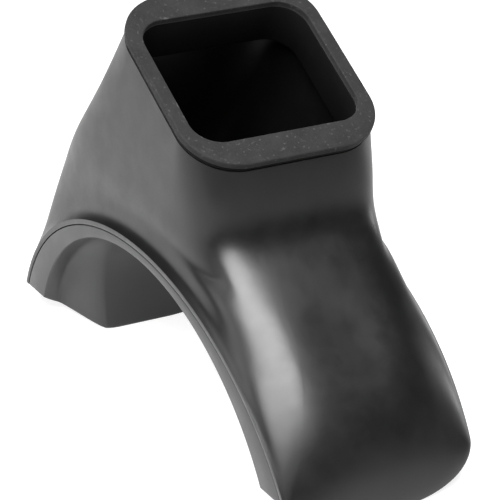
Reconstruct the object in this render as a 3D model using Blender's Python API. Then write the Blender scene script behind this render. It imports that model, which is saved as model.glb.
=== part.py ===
"""Dryer diffuser: a saddle-shaped air spreader with a tilted, square, soft-collared neck.

Frame: +Z up, standing on its two leg ends at Z = 0. X runs from the far leg (-X) to the near
leg (+X), Y runs across the saddle, and the arch is centred on X = 0, Y = 0. The neck leans
towards +X.
"""
import math

import bmesh
import bpy
import numpy as np
from mathutils import Matrix, Vector

MM = 0.001

# Saddle arch: an ellipse in the XZ plane, carried across Y.
ARCH_HALF_SPAN = 103.5 * MM
ARCH_HEIGHT = 80.5 * MM
ARCH_CENTRE_Z = -22.0 * MM
CROWN_Z = ARCH_CENTRE_Z + ARCH_HEIGHT
CROWN_HALF_WIDTH = 36.1 * MM
DRAFT = 0.053                     # how much each side draws in for each metre below the crown

# Leg ends: sharp front corners, a lower middle and large rear corners.
FRONT_CORNER_Z = 7.5 * MM
FRONT_CORNER_SPREAD = 0.6         # share of the half width over which the end drops to the floor
REAR_CORNER_Z = 14.0 * MM
REAR_CORNER_START = 0.15          # share of the half width where the rear corner begins

# Outer shell walls and the seam to the liner.
LIP_WALL = 1.7 * MM
SHELL_WALL = 2.2 * MM
SEAM = 0.3 * MM
CONTACT_GAP = 0.3 * MM

# Liner: its own flatter arch, with an air duct that stands inward on each leg.
LINER_HALF_SPAN = 87.7 * MM
LINER_HEIGHT = 75.7 * MM
LINER_WALL = 1.8 * MM
DUCT_DEPTH = 25.0 * MM

# Collar: a tilted rounded rectangle round the dryer opening.
COLLAR_CENTRE = Vector((13.0 * MM, 0.0, 114.7 * MM))
COLLAR_TILT = math.radians(29.4)
OPENING_HALF = (26.3 * MM, 29.2 * MM)
OPENING_RADIUS = 9.5 * MM
PAD_HALF = (36.4 * MM, 33.9 * MM)
PAD_RADIUS = 18.0 * MM
PAD_THICKNESS = 2.4 * MM
PLATE_THICKNESS = 1.3 * MM
COLLAR_OVERHANG = 0.6 * MM
SPIGOT_DEPTH = 15.0 * MM
SPIGOT_WALL = 1.0 * MM

# Screws that hold the liner to bosses on the shell's side walls.
SCREW_PLACES = {
    "liner_screw_1": (-24.0 * MM, -28.8 * MM),
    "liner_screw_2": (24.0 * MM, -28.8 * MM),
    "liner_screw_3": (-24.0 * MM, 28.8 * MM),
    "liner_screw_4": (24.0 * MM, 28.8 * MM),
}
BOSS_RADIUS = 3.6 * MM
BOSS_TOP_Z = 70.0 * MM
WELL_SEAT = 1.0 * MM              # seat of a screw head, above the liner's inside
WELL_TOP = 2.5 * MM
WELL_WALL = 1.0 * MM
SCREW_RADIUS = 1.3 * MM
SCREW_LENGTH = 9.0 * MM
SCREW_HEAD_RADIUS = 2.4 * MM
SCREW_HEAD_HEIGHT = 1.7 * MM

# Air outlets: slots through the liner under the crown.
SLOT_COUNT = 7
SLOT_PITCH = 7.5 * MM
SLOT_WIDTH = 3.6 * MM
SLOT_HALF_LENGTH = 18.0 * MM

# Neck control rings, from the shoulders up to the collar:
# near end (X, Z), far end (X, Z), half width, superellipse power, rise over the middle.
NECK_RINGS_MM = (
    ((62.0, 57.0), (-80.5, 61.0), 33.9, 3.7, 13.0),
    ((45.6, 69.5), (-62.8, 78.0), 33.7, 5.2, 7.0),
    ((44.0, 82.0), (-40.8, 99.5), 33.6, 5.6, 2.0),
)

# The skin between the saddle's edge and the neck: (inset, rise) off the saddle at the crown, along
# the legs, at the near foot and at the far foot, then the power that rounds the ring's foot corners.
NECK_CORNERS = (0.30, 0.56)       # sigma under the neck's near and far corners
LEG_BLEND = 0.44                  # sigma over which the crown's numbers turn into the legs'
SADDLE_RINGS_MM = (
    ((1.0, 0.9), (0.9, 0.9), (0.9, 0.6), (0.9, 0.6), 0.0),
    ((2.0, 2.6), (1.9, 2.8), (4.0, 2.0), (3.0, 2.4), 8.0),
    ((2.2, 5.0), (5.4, 5.2), (14.0, 5.5), (10.0, 5.0), 4.0),
    ((2.6, 8.6), (13.0, 7.8), (29.0, 10.5), (20.0, 11.0), 2.8),
)

LENGTH_STEPS = 30                 # along each long edge of the saddle
WIDTH_STEPS = 18                  # across each leg end
RING_POINTS = 96                  # round the shell's skin
CORNER_STEPS = 24                 # round each corner of the neck's top
ARC_STEPS = 400


def smooth_step(value):
    value = min(max(value, 0.0), 1.0)
    return value * value * (3.0 - 2.0 * value)


def half_width(z):
    """Half the saddle's width at height z: the sides draw in towards the floor."""
    return CROWN_HALF_WIDTH - DRAFT * (CROWN_Z - z)


def duct_share(eta):
    """How far the raised air duct stands at eta across the leg: 0 at the edges, 1 in the middle."""
    return smooth_step((0.82 - abs(eta)) / 0.26)


def leg_end_z(eta):
    """Height of a leg's bottom edge at eta, from -1 at the front to 1 at the rear."""
    if eta < 0.0:
        return FRONT_CORNER_Z * (1.0 - min((1.0 + eta) / FRONT_CORNER_SPREAD, 1.0)) ** 2
    rear = max((eta - REAR_CORNER_START) / (1.0 - REAR_CORNER_START), 0.0)
    return REAR_CORNER_Z * (1.0 - math.sqrt(1.0 - rear * rear))


def arch_point(sigma, eta, half_span, height, lift=0.0):
    """Point on an elliptical arch: sigma -1..1 from leg end to leg end, eta -1..1 across."""
    end_angle = math.acos((leg_end_z(eta) + lift - ARCH_CENTRE_Z) / height)
    angle = sigma * end_angle
    z = ARCH_CENTRE_Z + height * math.cos(angle)
    return Vector((half_span * math.sin(angle), eta * (half_width(z) - lift), z))


def liner_point(sigma, eta, lift=0.0):
    """Point on the liner's underside, or on its inside where lift is the wall."""
    depth = DUCT_DEPTH * duct_share(eta) * abs(sigma) ** 1.6
    return arch_point(sigma, eta, LINER_HALF_SPAN + lift - depth, LINER_HEIGHT + lift, lift)


def edge_path():
    """(sigma, eta) once round the saddle's edge, from the far front corner to the near one."""
    path = [(-1.0 + 2.0 * i / LENGTH_STEPS, -1.0) for i in range(LENGTH_STEPS)]
    path += [(1.0, across(i / WIDTH_STEPS)) for i in range(WIDTH_STEPS)]
    path += [(1.0 - 2.0 * i / LENGTH_STEPS, 1.0) for i in range(LENGTH_STEPS)]
    path += [(-1.0, across(1.0 - i / WIDTH_STEPS)) for i in range(WIDTH_STEPS)]
    return path


def across(share):
    """eta at a share of the way over, with closer steps towards the two edges."""
    return -math.cos(math.pi * share)


def ring_path():
    """(sigma, eta) once round the saddle's edge, from the neck's far front corner."""
    near, far = NECK_CORNERS
    knots = ((-far, -1.0, 24), (near, -1.0, 6), (1.0, -1.0, 12), (1.0, 1.0, 6),
             (near, 1.0, 24), (-far, 1.0, 6), (-1.0, 1.0, 12), (-1.0, -1.0, 6))
    path = []
    for (sigma, eta, count), (next_sigma, next_eta, _) in zip(knots, knots[1:] + knots[:1]):
        for i in range(count):
            share = i / count
            turn = eta + (next_eta - eta) * share
            path.append((sigma + (next_sigma - sigma) * share, math.sin(turn * math.pi / 2.0)))
    return path


def saddle_ring(half_span, height, spots, power, wall):
    """Ring over the saddle through (inset, rise) spots: crown, legs, near foot, far foot (m)."""
    crown, leg, near, far = spots
    ring = []
    for sigma, eta in ring_path():
        corner = NECK_CORNERS[0] if sigma > 0.0 else NECK_CORNERS[1]
        foot = near if sigma > 0.0 else far
        along = max((abs(sigma) - corner) / (1.0 - corner), 0.0)
        pull = (along**power + abs(eta) ** power) ** (-1.0 / power) if power else 1.0
        reach = along * pull * (1.0 - corner - (foot[0] + wall) / half_span)
        legness = smooth_step(reach / LEG_BLEND)
        footness = smooth_step(along)
        inset = crown[0] * (1.0 - legness) + leg[0] * legness + wall
        rise = crown[1] * (1.0 - legness) + legness * (leg[1] * (1.0 - footness) + foot[1] * footness)
        place = math.copysign(corner + reach, sigma) if along > 0.0 else sigma
        point = arch_point(place, eta * pull * (1.0 - inset / half_width(0.0)), half_span, height)
        outward = Vector((point.x / half_span**2, 0.0, (point.z - ARCH_CENTRE_Z) / height**2))
        ring.append(point + outward.normalized() * rise)
    return ring


def quartered_ring(points, corners):
    """Ring from its far front corner: a quarter of RING_POINTS, evenly spaced, between corners."""
    loop = np.array([tuple(point) for point in points])
    ends = [corners[-1] - len(points)] + corners
    ring = []
    for first, last in zip(ends, ends[1:]):
        side = loop[np.arange(first, last + 1) % len(loop)]
        lengths = np.concatenate(([0.0], np.cumsum(np.linalg.norm(np.diff(side, axis=0), axis=1))))
        places = np.arange(RING_POINTS // 4) * lengths[-1] / (RING_POINTS // 4)
        ring += [Vector([np.interp(place, lengths, side[:, axis]) for axis in range(3)])
                 for place in places]
    return ring


def neck_ring(near, far, width, power, rise, wall=0.0):
    """Superelliptic ring round the neck, from its far front corner, over a parabolic arch."""
    half_length = (near[0] - far[0]) / 2.0 - wall
    middle = (near[0] + far[0]) / 2.0
    points = []
    for step in range(ARC_STEPS):
        angle = -math.pi / 2.0 + 2.0 * math.pi * step / ARC_STEPS
        u = math.copysign(abs(math.cos(angle)) ** (2.0 / power), math.cos(angle))
        v = math.copysign(abs(math.sin(angle)) ** (2.0 / power), math.sin(angle))
        z = (near[1] + far[1]) / 2.0 + u * (near[1] - far[1]) / 2.0 + rise * (1.0 - u * u) - wall
        points.append((middle + u * half_length, v * (width - wall), z))
    return quartered_ring(points, [ARC_STEPS * eighth // 8 for eighth in (1, 3, 5, 7)])


def rounded_rectangle(half, radius, corner_steps):
    """Outline in the XY plane, counter-clockwise from the front middle."""
    points = [(0.0, -half[1])]
    for corner, (sx, sy) in enumerate(((1, -1), (1, 1), (-1, 1), (-1, -1))):
        for step in range(corner_steps + 1):
            angle = math.radians(-90.0 + 90.0 * (corner + step / corner_steps))
            points.append((sx * (half[0] - radius) + radius * math.cos(angle),
                           sy * (half[1] - radius) + radius * math.sin(angle)))
    return points


def collar_matrix(depth):
    """Places a flat outline in the collar's plane, depth below the pad's top face."""
    return (Matrix.Translation(COLLAR_CENTRE) @ Matrix.Rotation(COLLAR_TILT, 4, "Y")
            @ Matrix.Translation((0.0, 0.0, -depth)))


def neck_top_ring(wall=0.0):
    depth = PAD_THICKNESS + PLATE_THICKNESS + 2.0 * CONTACT_GAP
    half = [size - COLLAR_OVERHANG - wall for size in PAD_HALF]
    outline = rounded_rectangle(half, PAD_RADIUS - COLLAR_OVERHANG - wall, CORNER_STEPS)
    corners = [1 + corner * (CORNER_STEPS + 1) + CORNER_STEPS // 2 for corner in range(4)]
    return quartered_ring([collar_matrix(depth) @ Vector((x, y, 0.0)) for x, y in outline], corners)


def spline_rows(rings, steps):
    """Rows of a cubic B-spline skin over control rings, ending on the first and the last."""
    cage = np.array([[tuple(point) for point in ring] for ring in rings])
    cage = np.concatenate((cage[:1], cage[:1], cage, cage[-1:], cage[-1:]))
    rows = []
    for start in range(len(cage) - 3):
        for step in range(steps):
            t = step / steps
            weights = np.array(((1 - t) ** 3, 3 * t**3 - 6 * t**2 + 4,
                                -3 * t**3 + 3 * t**2 + 3 * t + 1, t**3)) / 6.0
            rows.append(np.tensordot(weights, cage[start:start + 4], axes=1))
    rows.append(cage[-1])
    return rows


def shell_rows(wall, lip_wall, steps):
    """Rows of the shell's skin from the saddle's edge to the neck's top, wall inside the surface."""
    span = ARCH_HALF_SPAN - lip_wall
    height = ARCH_HEIGHT - lip_wall
    rings = [saddle_ring(span, height, ((0.0, 0.0),) * 4, 0.0, 0.0)]
    for *spots, power in SADDLE_RINGS_MM:
        spots = [(inset * MM, rise * MM) for inset, rise in spots]
        rings.append(saddle_ring(span, height, spots, power, wall))
    for near, far, width, power, rise in NECK_RINGS_MM:
        rings.append(neck_ring([c * MM for c in near], [c * MM for c in far], width * MM,
                               power, rise * MM, wall))
    rings.append(neck_top_ring(wall))
    return spline_rows(rings, steps)


def material(name, colour, roughness, metallic=0.0):
    made = bpy.data.materials.new(name)
    made.use_nodes = True
    shader = made.node_tree.nodes["Principled BSDF"]
    shader.inputs["Base Color"].default_value = (*colour, 1.0)
    shader.inputs["Roughness"].default_value = roughness
    shader.inputs["Metallic"].default_value = metallic
    return made


def add_object(name, mesh_maker, look=None):
    """One named object from a function that fills a bmesh."""
    mesh = bpy.data.meshes.new(name)
    bm = bmesh.new()
    mesh_maker(bm)
    bmesh.ops.recalc_face_normals(bm, faces=bm.faces)
    bm.to_mesh(mesh)
    bm.free()
    mesh.shade_smooth()
    mesh.set_sharp_from_angle(angle=math.radians(35.0))
    made = bpy.data.objects.new(name, mesh)
    bpy.context.scene.collection.objects.link(made)
    if look:
        mesh.materials.append(look)
    return made


def add_cutter(name, mesh_maker):
    cutter = add_object(name, mesh_maker)
    cutter.hide_render = True
    cutter.display_type = "WIRE"
    return cutter


def boolean(target, tool, operation):
    modifier = target.modifiers.new(operation.lower(), "BOOLEAN")
    modifier.operation = operation
    modifier.solver = "EXACT"
    modifier.object = tool


def join_rings(bm, first, second):
    for i in range(len(first)):
        after = (i + 1) % len(first)
        bm.faces.new((first[i], first[after], second[after], second[i]))


def ring_stack(bm, rows):
    """Closed tube of quads over rows of points; the last row joins the first."""
    rings = [[bm.verts.new(point) for point in row] for row in rows]
    for index, ring in enumerate(rings):
        join_rings(bm, ring, rings[(index + 1) % len(rings)])


def cylinder(bm, place, radius, low, high, segments=16):
    matrix = Matrix.Translation((place[0], place[1], (low + high) / 2.0))
    bmesh.ops.create_cone(bm, cap_ends=True, segments=segments, radius1=radius, radius2=radius,
                          depth=high - low, matrix=matrix)


def liner_inside_z(place):
    """Height of the liner's inner face above a point of its crown."""
    across_share = (place[0] / (LINER_HALF_SPAN + LINER_WALL)) ** 2
    return ARCH_CENTRE_Z + (LINER_HEIGHT + LINER_WALL) * math.sqrt(1.0 - across_share)


def make_outer_shell(look):
    def skins(bm):
        outer = shell_rows(0.0, 0.0, 2)
        inner = shell_rows(SHELL_WALL, LIP_WALL, 1)
        ring_stack(bm, outer + inner[::-1])

    def bosses(bm):
        for place in SCREW_PLACES.values():
            cylinder(bm, place, BOSS_RADIUS, liner_inside_z(place) + WELL_TOP + CONTACT_GAP, BOSS_TOP_Z)

    def pilot_holes(bm):
        for place in SCREW_PLACES.values():
            low = liner_inside_z(place)
            cylinder(bm, place, SCREW_RADIUS + CONTACT_GAP, low, low + SCREW_LENGTH + WELL_TOP, 12)

    shell = add_object("outer_shell", skins, look)
    boolean(shell, add_cutter("shell_bosses", bosses), "UNION")
    boolean(shell, add_cutter("pilot_holes", pilot_holes), "DIFFERENCE")
    return shell


def make_inner_liner(look):
    span = ARCH_HALF_SPAN - LIP_WALL - SEAM
    height = ARCH_HEIGHT - LIP_WALL - SEAM

    def skin(bm, lift):
        grid = [[bm.verts.new(liner_point(-1.0 + 2.0 * i / LENGTH_STEPS, across(j / WIDTH_STEPS), lift))
                 for j in range(WIDTH_STEPS + 1)] for i in range(LENGTH_STEPS + 1)]
        for i in range(LENGTH_STEPS):
            for j in range(WIDTH_STEPS):
                bm.faces.new((grid[i][j], grid[i + 1][j], grid[i + 1][j + 1], grid[i][j + 1]))
        edge = [grid[i][0] for i in range(LENGTH_STEPS)]
        edge += [grid[LENGTH_STEPS][j] for j in range(WIDTH_STEPS)]
        edge += [grid[i][WIDTH_STEPS] for i in range(LENGTH_STEPS, 0, -1)]
        return edge + [grid[0][j] for j in range(WIDTH_STEPS, 0, -1)]

    def tray(bm):
        path = edge_path()
        wall_low = [bm.verts.new(arch_point(s, e, span, height)) for s, e in path]
        wall_high = [bm.verts.new(arch_point(s, e, span, height, LINER_WALL)) for s, e in path]
        rings = (skin(bm, 0.0), wall_low, wall_high, skin(bm, LINER_WALL))
        for first, second in zip(rings, rings[1:]):
            join_rings(bm, first, second)

    def slots(bm):
        for index in range(SLOT_COUNT):
            x = (index - (SLOT_COUNT - 1) / 2.0) * SLOT_PITCH
            matrix = Matrix.Translation((x, 0.0, CROWN_Z - 6.0 * MM)) @ Matrix.Diagonal(
                (SLOT_WIDTH, 2.0 * SLOT_HALF_LENGTH, 20.0 * MM, 1.0))
            bmesh.ops.create_cube(bm, size=1.0, matrix=matrix)

    bore = SCREW_HEAD_RADIUS + CONTACT_GAP

    def wells(bm):
        for place in SCREW_PLACES.values():
            low = liner_inside_z((abs(place[0]) + bore + WELL_WALL, place[1])) - LINER_WALL / 2.0
            cylinder(bm, place, bore + WELL_WALL, low, liner_inside_z(place) + WELL_TOP, 24)

    def well_bores(bm):
        for place in SCREW_PLACES.values():
            cylinder(bm, place, bore, CROWN_Z - 25.0 * MM, liner_inside_z(place) + WELL_SEAT, 24)

    def screw_holes(bm):
        for place in SCREW_PLACES.values():
            cylinder(bm, place, SCREW_RADIUS + CONTACT_GAP, CROWN_Z - 25.0 * MM, CROWN_Z + 5.0 * MM, 12)

    liner = add_object("inner_liner", tray, look)
    boolean(liner, add_cutter("outlet_slots", slots), "DIFFERENCE")
    boolean(liner, add_cutter("screw_wells", wells), "UNION")
    boolean(liner, add_cutter("well_bores", well_bores), "DIFFERENCE")
    boolean(liner, add_cutter("screw_holes", screw_holes), "DIFFERENCE")
    return liner


def make_collar_plate(look):
    """Rigid plate on the neck's top, with a spigot that hangs into the neck."""
    top = PAD_THICKNESS + CONTACT_GAP
    plate_half = [size - COLLAR_OVERHANG for size in PAD_HALF]
    spigot_half = [size + SPIGOT_WALL for size in OPENING_HALF]
    profile = (
        (OPENING_HALF, OPENING_RADIUS, top),
        (plate_half, PAD_RADIUS - COLLAR_OVERHANG, top),
        (plate_half, PAD_RADIUS - COLLAR_OVERHANG, top + PLATE_THICKNESS),
        (spigot_half, OPENING_RADIUS + SPIGOT_WALL, top + PLATE_THICKNESS),
        (spigot_half, OPENING_RADIUS + SPIGOT_WALL, top + SPIGOT_DEPTH),
        (OPENING_HALF, OPENING_RADIUS, top + SPIGOT_DEPTH),
    )

    def plate(bm):
        ring_stack(bm, [[(x, y, -depth) for x, y in rounded_rectangle(half, radius, 6)]
                        for half, radius, depth in profile])

    made = add_object("collar_plate", plate, look)
    made.matrix_world = collar_matrix(0.0)
    return made


def make_collar_pad(look):
    """Soft square gasket on top of the plate, with a small round along its edges."""
    edge = 0.5 * MM

    def shrunk(half, radius, amount):
        return [size - amount for size in half], radius - amount

    profile = (
        (*shrunk(OPENING_HALF, OPENING_RADIUS, -edge), 0.0),
        (*shrunk(PAD_HALF, PAD_RADIUS, edge), 0.0),
        (PAD_HALF, PAD_RADIUS, edge),
        (PAD_HALF, PAD_RADIUS, PAD_THICKNESS),
        (OPENING_HALF, OPENING_RADIUS, PAD_THICKNESS),
        (OPENING_HALF, OPENING_RADIUS, edge),
    )

    def pad(bm):
        ring_stack(bm, [[(x, y, -depth) for x, y in rounded_rectangle(half, radius, 6)]
                        for half, radius, depth in profile])

    made = add_object("collar_pad", pad, look)
    made.matrix_world = collar_matrix(0.0)
    return made


def make_air_baffle(look):
    """Roof-shaped baffle that stands on the liner's crown and splits the air to both legs."""
    half_length, half_base, ridge = 24.0 * MM, 14.0 * MM, 16.0 * MM
    wall = 1.6 * MM
    foot_z = liner_inside_z((half_base - wall * 1.6, 0.0)) + CONTACT_GAP

    def roof(bm):
        outline = ((half_base, 0.0), (0.0, ridge), (-half_base, 0.0),
                   (-half_base + wall * 1.6, 0.0), (0.0, ridge - wall * 1.9), (half_base - wall * 1.6, 0.0))
        ends = [[bm.verts.new((x, side * half_length, foot_z + z)) for x, z in outline]
                for side in (-1, 1)]
        join_rings(bm, ends[0], ends[1])
        for end in ends:
            bm.faces.new((end[0], end[1], end[4], end[5]))
            bm.faces.new((end[1], end[2], end[3], end[4]))

    return add_object("air_baffle", roof, look)


def make_screw(name, place, look):
    """Pan-head screw, head down in the liner's well."""
    seat = liner_inside_z(place) + WELL_SEAT - CONTACT_GAP

    def turned_screw(bm):
        profile = ((0.0, seat - SCREW_HEAD_HEIGHT), (SCREW_HEAD_RADIUS * 0.8, seat - SCREW_HEAD_HEIGHT),
                   (SCREW_HEAD_RADIUS, seat - SCREW_HEAD_HEIGHT * 0.6), (SCREW_HEAD_RADIUS, seat),
                   (SCREW_RADIUS, seat), (SCREW_RADIUS, seat + SCREW_LENGTH), (0.0, seat + SCREW_LENGTH))
        rings = []
        for radius, z in profile[1:-1]:
            rings.append([bm.verts.new((place[0] + radius * math.cos(math.tau * i / 16),
                                        place[1] + radius * math.sin(math.tau * i / 16), z))
                          for i in range(16)])
        for first, second in zip(rings, rings[1:]):
            join_rings(bm, first, second)
        bm.faces.new(rings[0])
        bm.faces.new(rings[-1])

    return add_object(name, turned_screw, look)


def main():
    for old in list(bpy.data.objects):
        bpy.data.objects.remove(old)
    shell_plastic = material("satin_black_plastic", (0.018, 0.018, 0.019), 0.34)
    liner_plastic = material("liner_black_plastic", (0.022, 0.022, 0.023), 0.42)
    plate_plastic = material("plate_black_plastic", (0.016, 0.016, 0.016), 0.45)
    foam = material("collar_foam", (0.030, 0.030, 0.031), 0.85)
    steel = material("screw_steel", (0.45, 0.45, 0.46), 0.35, 1.0)
    make_outer_shell(shell_plastic)
    make_inner_liner(liner_plastic)
    make_collar_plate(plate_plastic)
    make_collar_pad(foam)
    make_air_baffle(plate_plastic)
    for name, place in SCREW_PLACES.items():
        make_screw(name, place, steel)


main()
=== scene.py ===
"""Dryer diffuser: the looks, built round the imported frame.

Every visible piece repeats the CAD part's formulas at a finer resolution, in the same frame:
+Z up, legs standing on Z = 0, X from the far leg to the near leg, Y across the saddle.
"""
import math

import bmesh
import bpy
import numpy as np
from mathutils import Matrix, Vector, noise


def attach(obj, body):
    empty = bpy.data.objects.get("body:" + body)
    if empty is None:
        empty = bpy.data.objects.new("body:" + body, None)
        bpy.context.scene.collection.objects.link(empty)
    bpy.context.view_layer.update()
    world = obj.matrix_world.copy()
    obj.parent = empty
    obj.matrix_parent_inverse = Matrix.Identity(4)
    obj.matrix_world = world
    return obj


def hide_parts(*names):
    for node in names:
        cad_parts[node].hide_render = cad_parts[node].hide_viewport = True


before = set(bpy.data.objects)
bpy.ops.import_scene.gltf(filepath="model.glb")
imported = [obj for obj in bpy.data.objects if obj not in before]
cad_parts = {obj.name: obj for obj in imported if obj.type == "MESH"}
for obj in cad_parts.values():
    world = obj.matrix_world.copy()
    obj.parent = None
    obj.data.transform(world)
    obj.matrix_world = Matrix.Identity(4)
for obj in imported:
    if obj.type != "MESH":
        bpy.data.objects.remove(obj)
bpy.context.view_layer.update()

MM = 0.001

# Saddle arch: an ellipse in the XZ plane, carried across Y.
ARCH_HALF_SPAN = 103.5 * MM
ARCH_HEIGHT = 80.5 * MM
ARCH_CENTRE_Z = -22.0 * MM
CROWN_Z = ARCH_CENTRE_Z + ARCH_HEIGHT
CROWN_HALF_WIDTH = 36.1 * MM
DRAFT = 0.053

# Leg ends.
FRONT_CORNER_Z = 7.5 * MM
FRONT_CORNER_SPREAD = 0.6
REAR_CORNER_Z = 14.0 * MM
REAR_CORNER_START = 0.15

# Walls and gaps.
LIP_WALL = 1.7 * MM
SHELL_WALL = 2.2 * MM
SEAM = 0.3 * MM
CONTACT_GAP = 0.3 * MM

# Liner.
LINER_HALF_SPAN = 87.7 * MM
LINER_HEIGHT = 75.7 * MM
LINER_WALL = 1.8 * MM
DUCT_DEPTH = 25.0 * MM
DUCT_EDGE = 0.82                  # share of the half width at which the duct begins
DUCT_FADE = 0.26                  # share over which it reaches its full depth
DUCT_SWELL = 1.6                  # power with which it deepens towards the leg ends

# Collar.
COLLAR_CENTRE = Vector((13.0 * MM, 0.0, 114.7 * MM))
COLLAR_TILT = math.radians(29.4)
OPENING_HALF = (26.3 * MM, 29.2 * MM)
OPENING_RADIUS = 9.5 * MM
PAD_HALF = (36.4 * MM, 33.9 * MM)
PAD_RADIUS = 18.0 * MM
PAD_THICKNESS = 2.4 * MM
PLATE_THICKNESS = 1.3 * MM
COLLAR_OVERHANG = 0.6 * MM
SPIGOT_DEPTH = 15.0 * MM
SPIGOT_WALL = 1.0 * MM
PAD_INNER_EDGE = 0.45 * MM        # rounding of the pad's top, inside and outside
PAD_OUTER_EDGE = 0.7 * MM
PAD_WAVES = ((90.0, 0.10 * MM), (420.0, 0.05 * MM))   # (per metre, height) of the foam's waviness
PAD_WAVE_DEPTH = PAD_THICKNESS - 0.3 * MM             # the waviness stops above the pad's foot
PAD_FOOT_EDGE = 0.25 * MM         # chamfer at the pad's foot
PAD_POINTS = 336
PAD_CORNER_STEPS = 40
PLATE_CORNER_STEPS = 24

# Screws and their wells.
SCREW_PLACES = {
    "liner_screw_1": (-24.0 * MM, -28.8 * MM),
    "liner_screw_2": (24.0 * MM, -28.8 * MM),
    "liner_screw_3": (-24.0 * MM, 28.8 * MM),
    "liner_screw_4": (24.0 * MM, 28.8 * MM),
}
BOSS_RADIUS = 3.6 * MM
BOSS_TOP_Z = 70.0 * MM
WELL_SEAT = 1.0 * MM
WELL_TOP = 2.5 * MM
WELL_WALL = 1.0 * MM
SCREW_RADIUS = 1.3 * MM
SCREW_LENGTH = 9.0 * MM
SCREW_HEAD_RADIUS = 2.4 * MM
SCREW_HEAD_HEIGHT = 1.7 * MM
HEAD_ANGLES = (12, 25, 40, 55, 70, 82, 90)            # degrees from the crown of the head to its rim
THREAD_TURNS = 12
THREAD_ROOT = 0.82                # share of the screw's radius
THREAD_START = 0.6 * MM           # plain neck under the head
THREAD_PITCH = (SCREW_LENGTH - 3.0 * THREAD_START) / THREAD_TURNS
SCREW_SEGMENTS = 32

# Air outlets.
SLOT_COUNT = 7
SLOT_PITCH = 7.5 * MM
SLOT_WIDTH = 3.6 * MM
SLOT_HALF_LENGTH = 18.0 * MM

# Cutters for the liner, measured from the crown.
SLOT_CUT_BELOW, SLOT_CUT_ABOVE = 16.0 * MM, 4.0 * MM
BORE_CUT_BELOW, HOLE_CUT_ABOVE = 25.0 * MM, 5.0 * MM

# Baffle: a hollow ridge across the air's path.
BAFFLE_HALF_LENGTH = 24.0 * MM
BAFFLE_HALF_BASE = 14.0 * MM
BAFFLE_RIDGE = 16.0 * MM
BAFFLE_WALL = 1.6 * MM

# Saddle control rings: (inset, rise) at the crown, along the legs, at the near and the far foot,
# then the power that rounds their corners.
NECK_CORNERS = (0.30, 0.56)
LEG_BLEND = 0.44
SADDLE_RINGS_MM = (
    ((1.0, 0.9), (0.9, 0.9), (0.9, 0.6), (0.9, 0.6), 0.0),
    ((2.0, 2.6), (1.9, 2.8), (4.0, 2.0), (3.0, 2.4), 8.0),
    ((2.2, 5.0), (5.4, 5.2), (14.0, 5.5), (10.0, 5.0), 4.0),
    ((2.6, 8.6), (13.0, 7.8), (29.0, 10.5), (20.0, 11.0), 2.8),
)

# Neck control rings: near end (X, Z), far end (X, Z), half width, power, rise.
NECK_RINGS_MM = (
    ((62.0, 57.0), (-80.5, 61.0), 33.9, 3.7, 13.0),
    ((45.6, 69.5), (-62.8, 78.0), 33.7, 5.2, 7.0),
    ((44.0, 82.0), (-40.8, 99.5), 33.6, 5.6, 2.0),
)

# Mesh resolution.
LENGTH_STEPS = 150                # along the saddle's edge
WIDTH_STEPS = 66                  # across each leg end
RING_DETAIL = 5
RING_SIDES = (24, 6, 12, 6)       # steps over the crown, down a leg, across its foot and back up
RING_POINTS = 2 * sum(RING_SIDES) * RING_DETAIL
CORNER_STEPS = 96
ARC_STEPS = 1600
OUTER_STEPS = 14                  # rows for each control ring, outside and inside the shell
INNER_STEPS = 5

# Camera.
CAMERA_PLACE = (0.6685, -0.3485, 0.3650)
CAMERA_TURN_DEGREES = (67.237, 0.190, 61.957)
CAMERA_LENS_MM = 180.07
CAMERA_SENSOR_MM = 36.0

# Area lights: place, (width, height) and power. All of them point at one spot in the part.
LIGHT_TARGET = (0.02, 0.0, 0.04)
AREA_LIGHTS = {
    "top_softbox": ((0.37, -0.27, 0.86), (0.72, 0.88), 38.0),
    "front_fill": ((-0.14, -1.0, 0.52), (0.50, 0.50), 3.5),
    "rear_strip": ((0.02, 1.10, 0.12), (0.224, 0.252), 1.6),
}
WORLD_STRENGTH = 0.03

# Floor: it glows, so that the background stays white, and glows less on the near side.
FLOOR_SIZE = 8.0
FLOOR_Z = -0.2 * MM
FLOOR_GREY = 0.30
FLOOR_GLOW_X = (0.16, 0.60)
FLOOR_GLOW = (0.85, 0.12)

# Plastics: darkest and lightest base colour, roughness and specular level.
SHELL_PLASTIC = ((0.0018, 0.0018, 0.0019), (0.0030, 0.0030, 0.0031), 0.36, 0.42)
LINER_PLASTIC = ((0.019, 0.019, 0.0195), (0.025, 0.025, 0.0255), 0.42, 0.42)
PLATE_PLASTIC = ((0.0015, 0.0015, 0.0015), (0.0028, 0.0028, 0.0028), 0.66, 0.08)

# Foam: darkest and lightest cells, then the pale colour of its flecks and of the painted highlight on
# its edges. Steel: its two tints.
FOAM_DARK, FOAM_LIGHT = (0.005, 0.005, 0.0052), (0.010, 0.010, 0.0102)
FOAM_FLECK_AND_HIGHLIGHT = (0.048, 0.048, 0.049)
STEEL_COOL, STEEL_WARM = (0.40, 0.40, 0.42), (0.58, 0.57, 0.55)

FULL = (0.0, 1.0)                 # a mixing factor's whole range
NOISE_RANGE = (0.3, 0.7)          # where nearly all of a noise texture's values lie


def smooth_step(value):
    value = np.clip(value, 0.0, 1.0)
    return value * value * (3.0 - 2.0 * value)


def half_width(z):
    return CROWN_HALF_WIDTH - DRAFT * (CROWN_Z - z)


def duct_share(eta):
    return smooth_step((DUCT_EDGE - np.abs(eta)) / DUCT_FADE)


def leg_end_z(eta):
    front = FRONT_CORNER_Z * (1.0 - np.minimum((1.0 + eta) / FRONT_CORNER_SPREAD, 1.0)) ** 2
    rear = np.maximum((eta - REAR_CORNER_START) / (1.0 - REAR_CORNER_START), 0.0)
    rear_z = REAR_CORNER_Z * (1.0 - np.sqrt(np.maximum(1.0 - rear * rear, 0.0)))
    return np.where(eta < 0.0, front, rear_z)


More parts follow.
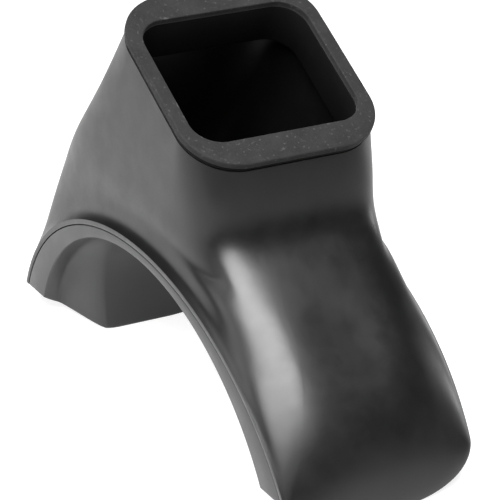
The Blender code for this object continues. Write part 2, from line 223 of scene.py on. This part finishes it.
def arch_points(sigma, eta, half_span, height, lift=0.0):
    """Points on an elliptical arch: sigma -1..1 from leg end to leg end, eta -1..1 across."""
    angle = sigma * np.arccos((leg_end_z(eta) + lift - ARCH_CENTRE_Z) / height)
    z = ARCH_CENTRE_Z + height * np.cos(angle)
    return np.stack((half_span * np.sin(angle), eta * (half_width(z) - lift), z), axis=-1)


def liner_points(sigma, eta, lift=0.0):
    depth = DUCT_DEPTH * duct_share(eta) * np.abs(sigma) ** DUCT_SWELL
    return arch_points(sigma, eta, LINER_HALF_SPAN + lift - depth, LINER_HEIGHT + lift, lift)


def edge_path():
    """sigma and eta once round the saddle's edge, from the far front corner to the near one."""
    along = -1.0 + 2.0 * np.arange(LENGTH_STEPS) / LENGTH_STEPS
    over = -1.0 + 2.0 * np.arange(WIDTH_STEPS) / WIDTH_STEPS
    sigma = np.concatenate((along, np.ones(WIDTH_STEPS), -along, -np.ones(WIDTH_STEPS)))
    eta = np.concatenate((-np.ones(LENGTH_STEPS), over, np.ones(LENGTH_STEPS), -over))
    return sigma, eta


def ring_path():
    """sigma and eta once round the saddle's edge, from the neck's far front corner."""
    counts = np.cumsum((0, *RING_SIDES, *RING_SIDES)) * RING_DETAIL
    near, far = NECK_CORNERS
    index = np.arange(RING_POINTS)
    sigma = np.interp(index, counts, (-far, near, 1.0, 1.0, near, -far, -1.0, -1.0, -far))
    eta = np.interp(index, counts, (-1.0, -1.0, -1.0, 1.0, 1.0, 1.0, 1.0, -1.0, -1.0))
    return sigma, np.sin(eta * math.pi / 2.0)


def saddle_ring(half_span, height, crown=(0.0, 0.0), leg=(0.0, 0.0), near=(0.0, 0.0),
                far=(0.0, 0.0), power=0.0, wall=0.0):
    """Ring over the saddle: (inset, rise) at the crown, along the legs and at the two feet (m)."""
    sigma, eta = ring_path()
    corner = np.where(sigma > 0.0, *NECK_CORNERS)
    foot_inset, foot_rise = (np.where(sigma > 0.0, *pair) for pair in zip(near, far))
    along = np.maximum((np.abs(sigma) - corner) / (1.0 - corner), 0.0)
    pull = (along**power + np.abs(eta) ** power) ** (-1.0 / power) if power else 1.0
    reach = along * pull * (1.0 - corner - (foot_inset + wall) / half_span)
    legness = smooth_step(reach / LEG_BLEND)
    inset = crown[0] * (1.0 - legness) + leg[0] * legness + wall
    footness = smooth_step(along)
    rise = crown[1] * (1.0 - legness) + legness * (leg[1] * (1.0 - footness) + foot_rise * footness)
    place = np.where(along > 0.0, np.copysign(corner + reach, sigma), sigma)
    ring = arch_points(place, eta * pull * (1.0 - inset / half_width(0.0)), half_span, height)
    out = np.stack((ring[:, 0] / half_span**2, np.zeros(len(ring)),
                    (ring[:, 2] - ARCH_CENTRE_Z) / height**2), axis=-1)
    return ring + out / np.linalg.norm(out, axis=1)[:, None] * rise[:, None]


def quartered_ring(points, corners):
    """Ring from its far front corner, a quarter of RING_POINTS evenly along each side."""
    ends = [corners[3] - len(points)] + list(corners)
    ring = []
    for first, last in zip(ends, ends[1:]):
        side = points[np.arange(first, last + 1) % len(points)]
        lengths = np.concatenate(([0.0], np.cumsum(np.linalg.norm(np.diff(side, axis=0), axis=1))))
        places = np.arange(RING_POINTS // 4) * lengths[-1] / (RING_POINTS // 4)
        ring.append(np.stack([np.interp(places, lengths, side[:, axis]) for axis in range(3)], axis=-1))
    return np.concatenate(ring)


def neck_ring(near, far, width, power, rise, wall=0.0):
    """Superelliptic ring round the neck, from its far front corner, over a parabolic arch."""
    angle = -math.pi / 2.0 + 2.0 * math.pi * np.arange(ARC_STEPS) / ARC_STEPS
    u = np.copysign(np.abs(np.cos(angle)) ** (2.0 / power), np.cos(angle))
    v = np.copysign(np.abs(np.sin(angle)) ** (2.0 / power), np.sin(angle))
    z = (near[1] + far[1]) / 2.0 + u * (near[1] - far[1]) / 2.0 + rise * (1.0 - u * u) - wall
    x = (near[0] + far[0]) / 2.0 + u * ((near[0] - far[0]) / 2.0 - wall)
    corners = [ARC_STEPS * eighth // 8 for eighth in (1, 3, 5, 7)]
    return quartered_ring(np.stack((x, v * (width - wall), z), axis=-1), corners)


def rounded_rectangle(half, radius, corner_steps):
    """Outline in the XY plane, counter-clockwise from the middle of its front side."""
    points = [(0.0, -half[1])]
    for corner, (sx, sy) in enumerate(((1, -1), (1, 1), (-1, 1), (-1, -1))):
        for step in range(corner_steps + 1):
            angle = math.radians(-90.0 + 90.0 * (corner + step / corner_steps))
            points.append((sx * (half[0] - radius) + radius * math.cos(angle),
                           sy * (half[1] - radius) + radius * math.sin(angle)))
    return np.array(points)


def collar_matrix(depth=0.0):
    return (Matrix.Translation(COLLAR_CENTRE) @ Matrix.Rotation(COLLAR_TILT, 4, "Y")
            @ Matrix.Translation((0.0, 0.0, -depth)))


def in_collar(points, depth=0.0):
    """Flat or local points placed in the collar's plane, depth below the pad's top."""
    local = np.asarray(points, float)
    if local.shape[1] == 2:
        local = np.column_stack((local, np.zeros(len(local))))
    matrix = np.array(collar_matrix(depth))
    return local @ matrix[:3, :3].T + matrix[:3, 3]


def neck_top_ring(wall=0.0):
    depth = PAD_THICKNESS + PLATE_THICKNESS + 2.0 * CONTACT_GAP
    half = [size - COLLAR_OVERHANG - wall for size in PAD_HALF]
    outline = rounded_rectangle(half, PAD_RADIUS - COLLAR_OVERHANG - wall, CORNER_STEPS)
    corners = [1 + corner * (CORNER_STEPS + 1) + CORNER_STEPS // 2 for corner in range(4)]
    return quartered_ring(in_collar(outline, depth), corners)


def spline_rows(rings, steps):
    """Rows of a cubic B-spline skin over control rings, ending on the first and the last."""
    cage = np.array(rings)
    cage = np.concatenate((cage[:1], cage[:1], cage, cage[-1:], cage[-1:]))
    rows = []
    for start in range(len(cage) - 3):
        for step in range(steps):
            t = step / steps
            weights = np.array(((1 - t) ** 3, 3 * t**3 - 6 * t**2 + 4,
                                -3 * t**3 + 3 * t**2 + 3 * t + 1, t**3)) / 6.0
            rows.append(np.tensordot(weights, cage[start:start + 4], axes=1))
    rows.append(cage[-1])
    return rows


def shell_rows(wall, lip_wall, steps):
    span = ARCH_HALF_SPAN - lip_wall
    height = ARCH_HEIGHT - lip_wall
    rings = [saddle_ring(span, height)]
    for *spots, power in SADDLE_RINGS_MM:
        crown, leg, near, far = [(inset * MM, rise * MM) for inset, rise in spots]
        rings.append(saddle_ring(span, height, crown, leg, near, far, power, wall))
    for near, far, width, power, rise in NECK_RINGS_MM:
        rings.append(neck_ring([c * MM for c in near], [c * MM for c in far], width * MM,
                               power, rise * MM, wall))
    rings.append(neck_top_ring(wall))
    return spline_rows(rings, steps)


# ---------------------------------------------------------------- mesh helpers

def add_mesh(name, verts, faces, sharp_angle=40.0):
    mesh = bpy.data.meshes.new(name)
    mesh.from_pydata([tuple(v) for v in verts], [], faces)
    bm = bmesh.new()
    bm.from_mesh(mesh)
    bmesh.ops.recalc_face_normals(bm, faces=bm.faces)
    bm.to_mesh(mesh)
    bm.free()
    mesh.shade_smooth()
    mesh.set_sharp_from_angle(angle=math.radians(sharp_angle))
    made = bpy.data.objects.new(name, mesh)
    bpy.context.scene.collection.objects.link(made)
    return made


def tube_faces(row_count, ring_points, first=0, closed=True):
    """Quads over rows of a ring stack; where closed, the last row joins the first."""
    faces = []
    for row in range(row_count if closed else row_count - 1):
        low, high = first + row * ring_points, first + (row + 1) % row_count * ring_points
        for i in range(ring_points):
            after = (i + 1) % ring_points
            faces.append((low + i, low + after, high + after, high + i))
    return faces


def cylinder_mesh(name, parts, segments=48):
    """Several upright cylinders in one mesh: (place, radius, low, high) each."""
    bm = bmesh.new()
    for place, radius, low, high in parts:
        bmesh.ops.create_cone(bm, cap_ends=True, segments=segments, radius1=radius, radius2=radius,
                              depth=high - low,
                              matrix=Matrix.Translation((place[0], place[1], (low + high) / 2.0)))
    return object_from(name, bm)


def object_from(name, bm):
    mesh = bpy.data.meshes.new(name)
    bmesh.ops.recalc_face_normals(bm, faces=bm.faces)
    bm.to_mesh(mesh)
    bm.free()
    made = bpy.data.objects.new(name, mesh)
    bpy.context.scene.collection.objects.link(made)
    return made


def apply_modifiers(target):
    """Bakes a piece's modifiers into its mesh, so no cutter has to stay."""
    bpy.context.view_layer.update()
    evaluated = target.evaluated_get(bpy.context.evaluated_depsgraph_get())
    mesh = bpy.data.meshes.new_from_object(evaluated)
    target.modifiers.clear()
    target.data = mesh


def cut(target, tool, operation):
    modifier = target.modifiers.new(operation.lower(), "BOOLEAN")
    modifier.operation = operation
    modifier.solver = "EXACT"
    modifier.object = tool
    apply_modifiers(target)
    bpy.data.objects.remove(tool)


def round_edges(target, width, segments=2, angle=50.0):
    bevel = target.modifiers.new("bevel", "BEVEL")
    bevel.width = width
    bevel.segments = segments
    bevel.limit_method = "ANGLE"
    bevel.angle_limit = math.radians(angle)
    apply_modifiers(target)
    target.data.shade_smooth()
    target.data.set_sharp_from_angle(angle=math.radians(60.0))


def liner_inside_z(place):
    across_share = (place[0] / (LINER_HALF_SPAN + LINER_WALL)) ** 2
    return ARCH_CENTRE_Z + (LINER_HEIGHT + LINER_WALL) * math.sqrt(1.0 - across_share)


# ---------------------------------------------------------------- camera, floor and light

def make_camera():
    data = bpy.data.cameras.new("camera")
    data.sensor_width = CAMERA_SENSOR_MM
    data.lens = CAMERA_LENS_MM
    data.clip_start = 0.01
    camera = bpy.data.objects.new("camera", data)
    camera.location = CAMERA_PLACE
    camera.rotation_euler = [math.radians(turn) for turn in CAMERA_TURN_DEGREES]
    bpy.context.scene.collection.objects.link(camera)
    bpy.context.scene.camera = camera


def add_area(name, place, size, power):
    data = bpy.data.lights.new(name, "AREA")
    data.shape = "RECTANGLE"
    data.size, data.size_y = size
    data.energy = power
    light = bpy.data.objects.new(name, data)
    light.location = place
    direction = Vector(LIGHT_TARGET) - Vector(place)
    light.rotation_euler = direction.to_track_quat("-Z", "Y").to_euler()
    bpy.context.scene.collection.objects.link(light)


def make_stage():
    bpy.ops.mesh.primitive_plane_add(size=FLOOR_SIZE, location=(0.0, 0.0, FLOOR_Z))
    floor = bpy.context.object
    floor.name = "floor"
    look, nodes, links, shader = new_look("floor_paper")
    shader.inputs["Base Color"].default_value = (FLOOR_GREY, FLOOR_GREY, FLOOR_GREY, 1.0)
    shader.inputs["Roughness"].default_value = 0.9
    shader.inputs["Specular IOR Level"].default_value = 0.0
    shader.inputs["Emission Color"].default_value = (1.0, 1.0, 1.0, 1.0)
    across = nodes.new("ShaderNodeSeparateXYZ")
    links.new(coordinates(nodes), across.inputs[0])
    links.new(mapped(nodes, links, across.outputs["X"], FLOOR_GLOW_X, FLOOR_GLOW),
              shader.inputs["Emission Strength"])
    floor.data.materials.append(look)


def make_lights():
    world = bpy.data.worlds.new("studio")
    world.use_nodes = True
    background = world.node_tree.nodes["Background"]
    background.inputs["Color"].default_value = (1.0, 1.0, 1.0, 1.0)
    background.inputs["Strength"].default_value = WORLD_STRENGTH
    bpy.context.scene.world = world
    for name, (place, size, power) in AREA_LIGHTS.items():
        add_area(name, place, size, power)
    bpy.context.scene.view_settings.view_transform = "Standard"


# ---------------------------------------------------------------- materials

def new_look(name):
    look = bpy.data.materials.new(name)
    look.use_nodes = True
    nodes, links = look.node_tree.nodes, look.node_tree.links
    return look, nodes, links, nodes["Principled BSDF"]


def coordinates(nodes):
    return nodes.new("ShaderNodeTexCoord").outputs["Object"]


def noise_node(nodes, links, vector, scale, detail, roughness=0.5):
    node = nodes.new("ShaderNodeTexNoise")
    node.inputs["Scale"].default_value = scale
    node.inputs["Detail"].default_value = detail
    node.inputs["Roughness"].default_value = roughness
    links.new(vector, node.inputs["Vector"])
    return node.outputs["Fac"]


def mapped(nodes, links, value, source, target):
    """The value, moved from the (low, high) source range to the target range."""
    node = nodes.new("ShaderNodeMapRange")
    links.new(value, node.inputs["Value"])
    for socket, number in zip(("From Min", "From Max", "To Min", "To Max"), (*source, *target)):
        node.inputs[socket].default_value = number
    return node.outputs["Result"]


def combine(nodes, links, operation, first, second):
    node = nodes.new("ShaderNodeMath")
    node.operation = operation
    for socket, value in zip(node.inputs, (first, second)):
        if isinstance(value, (int, float)):
            socket.default_value = value
        else:
            links.new(value, socket)
    return node.outputs[0]


def mixed_colour(nodes, links, factor, low, high):
    node = nodes.new("ShaderNodeMix")
    node.data_type = "RGBA"
    links.new(factor, node.inputs[0])
    for socket, value in ((node.inputs[6], low), (node.inputs[7], high)):
        if isinstance(value, tuple):
            socket.default_value = (*value, 1.0)
        else:
            links.new(value, socket)
    return node.outputs[2]


def worn_and_highlit_edges(nodes, links, full):
    """0 on flat faces to 1 where the mesh is as pointed as full; marks edges lightened for wear and as
    painted highlight.
    """
    pointed = nodes.new("ShaderNodeNewGeometry").outputs["Pointiness"]
    return mapped(nodes, links, pointed, (0.52, full), FULL)


def bump(nodes, links, height, strength, distance, before=None):
    node = nodes.new("ShaderNodeBump")
    node.inputs["Strength"].default_value = strength
    node.inputs["Distance"].default_value = distance
    links.new(height, node.inputs["Height"])
    if before is not None:
        links.new(before, node.inputs["Normal"])
    return node.outputs["Normal"]


def moulded_plastic(name, dark, light, roughness, specular):
    """Satin injection-moulded plastic: fine spark texture, faint flow marks, edges lightened partly as
    wear, partly as a painted highlight.
    """
    look, nodes, links, shader = new_look(name)
    place = coordinates(nodes)
    grains = noise_node(nodes, links, place, 2600.0, 3.0, 0.6)
    flow = noise_node(nodes, links, place, 28.0, 4.0, 0.55)
    smudge = noise_node(nodes, links, place, 90.0, 5.0, 0.6)
    edge = worn_and_highlit_edges(nodes, links, 0.60)
    patches = mapped(nodes, links, smudge, (0.35, 0.7), (0.3, 1.0))
    edge_wear_and_highlight = combine(nodes, links, "MULTIPLY", edge, patches)
    base = mixed_colour(nodes, links, mapped(nodes, links, flow, NOISE_RANGE, FULL), dark, light)
    # Pointed edges are lightened: part wear, part painted highlight.
    worn_and_highlit_colour = tuple(channel * 2.2 for channel in light)
    links.new(mixed_colour(nodes, links, edge_wear_and_highlight, base, worn_and_highlit_colour), shader.inputs["Base Color"])
    spread = mapped(nodes, links, smudge, NOISE_RANGE, (roughness - 0.04, roughness + 0.05))
    fine = mapped(nodes, links, grains, NOISE_RANGE, (-0.02, 0.03))
    links.new(combine(nodes, links, "ADD", spread, fine), shader.inputs["Roughness"])
    shader.inputs["Specular IOR Level"].default_value = specular
    waves = bump(nodes, links, flow, 0.06, 0.0006)
    links.new(bump(nodes, links, grains, 0.25, 0.00004, waves), shader.inputs["Normal"])
    return look


def foam_look():
    """Closed-cell foam rubber: fine cells, pale flecks, a painted highlight along its edges and a dull
    skin.
    """
    look, nodes, links, shader = new_look("collar_foam_look")
    place = coordinates(nodes)
    cells = nodes.new("ShaderNodeTexVoronoi")
    cells.inputs["Scale"].default_value = 1900.0
    links.new(place, cells.inputs["Vector"])
    grain = noise_node(nodes, links, place, 1300.0, 4.0, 0.65)
    cloud = noise_node(nodes, links, place, 130.0, 4.0, 0.6)
    specks = noise_node(nodes, links, place, 900.0, 2.0, 0.5)
    fleck = mapped(nodes, links, specks, (0.62, 0.72), FULL)
    base = mixed_colour(nodes, links, mapped(nodes, links, cloud, NOISE_RANGE, FULL),
                        FOAM_DARK, FOAM_LIGHT)
    edge = worn_and_highlit_edges(nodes, links, 0.62)
    # The flecks are the foam's own colour; the pale edges are a painted highlight.
    pale = combine(nodes, links, "MAXIMUM", combine(nodes, links, "MULTIPLY", fleck, 0.45),
                   combine(nodes, links, "MULTIPLY", edge, 0.7))
    links.new(mixed_colour(nodes, links, pale, base, FOAM_FLECK_AND_HIGHLIGHT), shader.inputs["Base Color"])
    links.new(mapped(nodes, links, grain, NOISE_RANGE, (0.72, 0.92)), shader.inputs["Roughness"])
    shader.inputs["Specular IOR Level"].default_value = 0.22
    shader.inputs["Sheen Weight"].default_value = 0.03
    shader.inputs["Sheen Roughness"].default_value = 0.5
    pores = bump(nodes, links, cells.outputs["Distance"], 0.35, 0.00012)
    links.new(bump(nodes, links, grain, 0.4, 0.0001, pores), shader.inputs["Normal"])
    return look


def steel_look():
    """Zinc-plated steel with fine turning marks."""
    look, nodes, links, shader = new_look("screw_steel_look")
    place = coordinates(nodes)
    marks = noise_node(nodes, links, place, 4200.0, 3.0, 0.5)
    tint = noise_node(nodes, links, place, 500.0, 3.0, 0.5)
    links.new(mixed_colour(nodes, links, tint, STEEL_COOL, STEEL_WARM), shader.inputs["Base Color"])
    shader.inputs["Metallic"].default_value = 1.0
    links.new(mapped(nodes, links, marks, NOISE_RANGE, (0.24, 0.42)), shader.inputs["Roughness"])
    links.new(bump(nodes, links, marks, 0.2, 0.00003), shader.inputs["Normal"])
    return look


# ---------------------------------------------------------------- pieces

def make_shell(look):
    outer = shell_rows(0.0, 0.0, OUTER_STEPS)
    inner = shell_rows(SHELL_WALL, LIP_WALL, INNER_STEPS)
    rows = outer + inner[::-1]
    shell = add_mesh("shell", np.concatenate(rows), tube_faces(len(rows), RING_POINTS))
    round_edges(shell, 0.35 * MM)
    bosses = [(place, BOSS_RADIUS, liner_inside_z(place) + WELL_TOP + CONTACT_GAP, BOSS_TOP_Z)
              for place in SCREW_PLACES.values()]
    cut(shell, cylinder_mesh("bosses", bosses), "UNION")
    pilots = [(place, SCREW_RADIUS + CONTACT_GAP, liner_inside_z(place),
               liner_inside_z(place) + SCREW_LENGTH + WELL_TOP) for place in SCREW_PLACES.values()]
    cut(shell, cylinder_mesh("pilots", pilots, 24), "DIFFERENCE")
    finish_piece(shell, look, "outer_shell")


def liner_skin(lift):
    """Grid of points over the liner's face, and the indices once round its edge."""
    sigma, eta = np.meshgrid(np.linspace(-1.0, 1.0, LENGTH_STEPS + 1),
                             np.linspace(-1.0, 1.0, WIDTH_STEPS + 1), indexing="ij")
    points = liner_points(sigma.ravel(), eta.ravel(), lift)
    index = np.arange(len(points)).reshape(LENGTH_STEPS + 1, WIDTH_STEPS + 1)
    edge = np.concatenate((index[:-1, 0], index[-1, :-1], index[:0:-1, -1], index[0, :0:-1]))
    quads = np.stack((index[:-1, :-1], index[1:, :-1], index[1:, 1:], index[:-1, 1:]), axis=-1)
    return points, quads.reshape(-1, 4), edge


def make_liner(look):
    span = ARCH_HALF_SPAN - LIP_WALL - SEAM
    height = ARCH_HEIGHT - LIP_WALL - SEAM
    sigma, eta = edge_path()
    under, quads, edge = liner_skin(0.0)
    inside, _, _ = liner_skin(LINER_WALL)
    walls = [arch_points(sigma, eta, span, height), arch_points(sigma, eta, span, height, LINER_WALL)]
    verts = np.concatenate([under, inside] + walls)
    faces = [tuple(q) for q in quads.tolist()] + [tuple(q) for q in (quads + len(under)).tolist()]
    count = len(edge)
    wall_start = 2 * len(under)
    loops = (edge, np.arange(count) + wall_start, np.arange(count) + wall_start + count,
             edge + len(under))
    for first, second in zip(loops, loops[1:]):
        for i in range(count):
            after = (i + 1) % count
            faces.append((int(first[i]), int(first[after]), int(second[after]), int(second[i])))
    liner = add_mesh("liner", verts, faces)
    round_edges(liner, 0.4 * MM)

    bore = SCREW_HEAD_RADIUS + CONTACT_GAP
    bore_z = CROWN_Z - BORE_CUT_BELOW
    slots = bmesh.new()
    for index in range(SLOT_COUNT):
        x = (index - (SLOT_COUNT - 1) / 2.0) * SLOT_PITCH
        add_slot(slots, x, SLOT_WIDTH / 2.0, SLOT_HALF_LENGTH,
                 CROWN_Z - SLOT_CUT_BELOW, CROWN_Z + SLOT_CUT_ABOVE)
    cut(liner, object_from("slots", slots), "DIFFERENCE")
    wells, bores, holes = [], [], []
    for place in SCREW_PLACES.values():
        low = liner_inside_z((abs(place[0]) + bore + WELL_WALL, place[1])) - LINER_WALL / 2.0
        wells.append((place, bore + WELL_WALL, low, liner_inside_z(place) + WELL_TOP))
        bores.append((place, bore, bore_z, liner_inside_z(place) + WELL_SEAT))
        holes.append((place, SCREW_RADIUS + CONTACT_GAP, bore_z, CROWN_Z + HOLE_CUT_ABOVE))
    cut(liner, cylinder_mesh("wells", wells), "UNION")
    cut(liner, cylinder_mesh("bores", bores), "DIFFERENCE")
    cut(liner, cylinder_mesh("holes", holes, 24), "DIFFERENCE")
    finish_piece(liner, look, "inner_liner")


def add_slot(bm, x, half_width_x, half_length, low, high, end_steps=10):
    """Upright slot cutter with round ends."""
    outline = []
    for sign in (-1.0, 1.0):
        for step in range(end_steps + 1):
            angle = math.pi * step / end_steps + (math.pi if sign < 0 else 0.0)
            outline.append((x + half_width_x * math.cos(angle),
                            sign * (half_length - half_width_x) + half_width_x * math.sin(angle)))
    rings = [[bm.verts.new((px, py, z)) for px, py in outline] for z in (low, high)]
    for i in range(len(outline)):
        after = (i + 1) % len(outline)
        bm.faces.new((rings[0][i], rings[0][after], rings[1][after], rings[1][i]))
    bm.faces.new(rings[0])
    bm.faces.new(rings[1])


def ring_profile(profile, corner_steps):
    """Points and faces of a closed ring, from a (half, radius, depth) profile in the collar's frame."""
    verts = []
    for half, radius, depth in profile:
        outline = rounded_rectangle(half, radius, corner_steps)
        verts.append(np.column_stack((outline, np.full(len(outline), -depth))))
    points = np.concatenate(verts)
    return points, tube_faces(len(profile), len(verts[0]))


def make_plate(look):
    top = PAD_THICKNESS + CONTACT_GAP
    plate_half = [size - COLLAR_OVERHANG for size in PAD_HALF]
    spigot_half = [size + SPIGOT_WALL for size in OPENING_HALF]
    profile = (
        (OPENING_HALF, OPENING_RADIUS, top),
        (plate_half, PAD_RADIUS - COLLAR_OVERHANG, top),
        (plate_half, PAD_RADIUS - COLLAR_OVERHANG, top + PLATE_THICKNESS),
        (spigot_half, OPENING_RADIUS + SPIGOT_WALL, top + PLATE_THICKNESS),
        (spigot_half, OPENING_RADIUS + SPIGOT_WALL, top + SPIGOT_DEPTH),
        (OPENING_HALF, OPENING_RADIUS, top + SPIGOT_DEPTH),
    )
    points, faces = ring_profile(profile, PLATE_CORNER_STEPS)
    plate = add_mesh("neck_plate", in_collar(points), faces)
    round_edges(plate, 0.3 * MM)
    finish_piece(plate, look, "collar_plate")


def pad_profile():
    """Once round the pad's section: (side, how far in from it, depth below the top) each.

    Along the top, the middle value is the share of the way from the opening to the outside.
    """
    section = []
    for step in range(5):
        angle = math.radians(90.0 * step / 4)
        section.append(("in", PAD_INNER_EDGE * (1.0 - math.cos(angle)),
                        PAD_INNER_EDGE * (1.0 - math.sin(angle))))
    for share in np.linspace(0.0, 1.0, 13)[1:-1]:
        section.append(("top", share, 0.0))
    for step in range(6):
        angle = math.radians(90.0 * step / 5)
        section.append(("out", PAD_OUTER_EDGE * (1.0 - math.sin(angle)),
                        PAD_OUTER_EDGE * (1.0 - math.cos(angle))))
    for depth in (1.1, 1.5, 1.9):
        section.append(("out", 0.0, depth * MM))
    section.append(("out", 0.0, PAD_THICKNESS - PAD_FOOT_EDGE))
    section.append(("out", PAD_FOOT_EDGE, PAD_THICKNESS))
    section.append(("in", 0.0, PAD_THICKNESS))
    section.append(("in", 0.0, 1.4 * MM))
    return section


def resample(outline):
    """The closed outline with PAD_POINTS points spaced evenly from its first one."""
    loop = np.concatenate((outline, outline[:1]))
    lengths = np.concatenate(([0.0], np.cumsum(np.linalg.norm(np.diff(loop, axis=0), axis=1))))
    places = np.arange(PAD_POINTS) * lengths[-1] / PAD_POINTS
    return np.stack([np.interp(places, lengths, loop[:, axis]) for axis in range(2)], axis=-1)


def pad_outline(half, radius, offset):
    """The rounded rectangle grown by offset all round."""
    return resample(rounded_rectangle([size + offset for size in half], radius + offset,
                                      PAD_CORNER_STEPS))


def make_pad(look):
    """Soft square ring: rounded edges and the slight waviness of cut foam."""
    section = pad_profile()
    start = pad_outline(OPENING_HALF, OPENING_RADIUS, PAD_INNER_EDGE)
    end = pad_outline(PAD_HALF, PAD_RADIUS, -PAD_OUTER_EDGE)
    verts = []
    for kind, value, depth in section:
        if kind == "in":
            outline = pad_outline(OPENING_HALF, OPENING_RADIUS, value)
        elif kind == "out":
            outline = pad_outline(PAD_HALF, PAD_RADIUS, -value)
        else:
            outline = start + (end - start) * value
        verts.append(np.column_stack((outline, np.full(len(outline), -depth))))
    points = np.concatenate(verts)
    for index, point in enumerate(points):
        if point[2] > -PAD_WAVE_DEPTH:
            wave = sum(noise.noise(Vector(point * rate)) * height for rate, height in PAD_WAVES)
            points[index, 2] -= abs(wave)
    pad = add_mesh("soft_collar", in_collar(points), tube_faces(len(section), len(verts[0])), 60.0)
    finish_piece(pad, look, "collar_pad")


def make_baffle(look):
    """Ridge of two sloping walls, open underneath, standing on the liner's inside."""
    base, inner_base = BAFFLE_HALF_BASE, BAFFLE_HALF_BASE - 1.6 * BAFFLE_WALL
    inner_ridge = BAFFLE_RIDGE - 1.9 * BAFFLE_WALL
    foot_z = liner_inside_z((inner_base, 0.0)) + CONTACT_GAP
    outline = ((base, 0.0), (0.0, BAFFLE_RIDGE), (-base, 0.0),
               (-inner_base, 0.0), (0.0, inner_ridge), (inner_base, 0.0))
    verts = [(x, side * BAFFLE_HALF_LENGTH, foot_z + z) for side in (-1, 1) for x, z in outline]
    faces = tube_faces(2, 6, closed=False)
    for first in (0, 6):
        faces.append((first, first + 1, first + 4, first + 5))
        faces.append((first + 1, first + 2, first + 3, first + 4))
    baffle = add_mesh("baffle", verts, faces)
    round_edges(baffle, 0.4 * MM, 3, 30.0)
    finish_piece(baffle, look, "air_baffle")


def cross_mesh(place, middle_z, reach=1.3 * MM, half=0.28 * MM, depth=0.9 * MM):
    """Upright plus-shaped cutter for a driver recess."""
    corner = ((half, reach), (-half, reach), (-half, half))
    outline = []
    for turn in range(4):
        for x, y in corner:
            for _ in range(turn):
                x, y = -y, x
            outline.append((place[0] + x, place[1] + y))
    bm = bmesh.new()
    low, high = [[bm.verts.new((x, y, middle_z + lift)) for x, y in outline]
                 for lift in (-depth, depth)]
    for i in range(len(outline)):
        after = (i + 1) % len(outline)
        bm.faces.new((low[i], low[after], high[after], high[i]))
    bm.faces.new(low)
    bm.faces.new(high)
    return object_from("cross", bm)


def make_screw(name, place, look):
    """Pan-head screw, head down in its well, with a cross recess and a thread of plain rings."""
    seat = liner_inside_z(place) + WELL_SEAT - CONTACT_GAP
    head, radius = SCREW_HEAD_RADIUS, SCREW_RADIUS
    profile = []
    for angle in map(math.radians, HEAD_ANGLES):
        profile.append((head * math.sin(angle) ** 0.8,
                        seat - SCREW_HEAD_HEIGHT * (0.35 + 0.65 * math.cos(angle))))
    profile += [(head, seat - 0.1 * MM), (head - 0.1 * MM, seat), (radius, seat)]
    root = radius * THREAD_ROOT
    for turn in range(THREAD_TURNS):
        z = seat + THREAD_START + turn * THREAD_PITCH
        profile += [(root, z), (radius, z + 0.25 * MM), (root, z + 0.5 * MM)]
    profile += [(radius * 0.75, seat + SCREW_LENGTH - 0.8 * MM), (0.2 * MM, seat + SCREW_LENGTH)]
    count = SCREW_SEGMENTS
    angles = math.tau * np.arange(count) / count
    around = np.column_stack((np.cos(angles), np.sin(angles), np.zeros(count)))
    verts = np.concatenate([around * r + (*place, z) for r, z in profile])
    faces = tube_faces(len(profile), count, closed=False)
    faces.append(tuple(range(count)))
    faces.append(tuple(range((len(profile) - 1) * count, len(profile) * count)))
    screw = add_mesh(name + "_body", verts, faces, 30.0)
    cut(screw, cross_mesh(place, seat - SCREW_HEAD_HEIGHT), "DIFFERENCE")
    finish_piece(screw, look, name)


def finish_piece(piece, look, node):
    piece.data.materials.clear()
    piece.data.materials.append(look)
    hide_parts(node)
    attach(piece, "root")


def main():
    make_camera()
    make_stage()
    make_lights()
    shell_look = moulded_plastic("shell_plastic_look", *SHELL_PLASTIC)
    liner_look = moulded_plastic("liner_plastic_look", *LINER_PLASTIC)
    plate_look = moulded_plastic("plate_plastic_look", *PLATE_PLASTIC)
    make_shell(shell_look)
    make_liner(liner_look)
    make_plate(plate_look)
    make_pad(foam_look())
    make_baffle(plate_look)
    steel = steel_look()
    for name, place in SCREW_PLACES.items():
        make_screw(name, place, steel)


main()
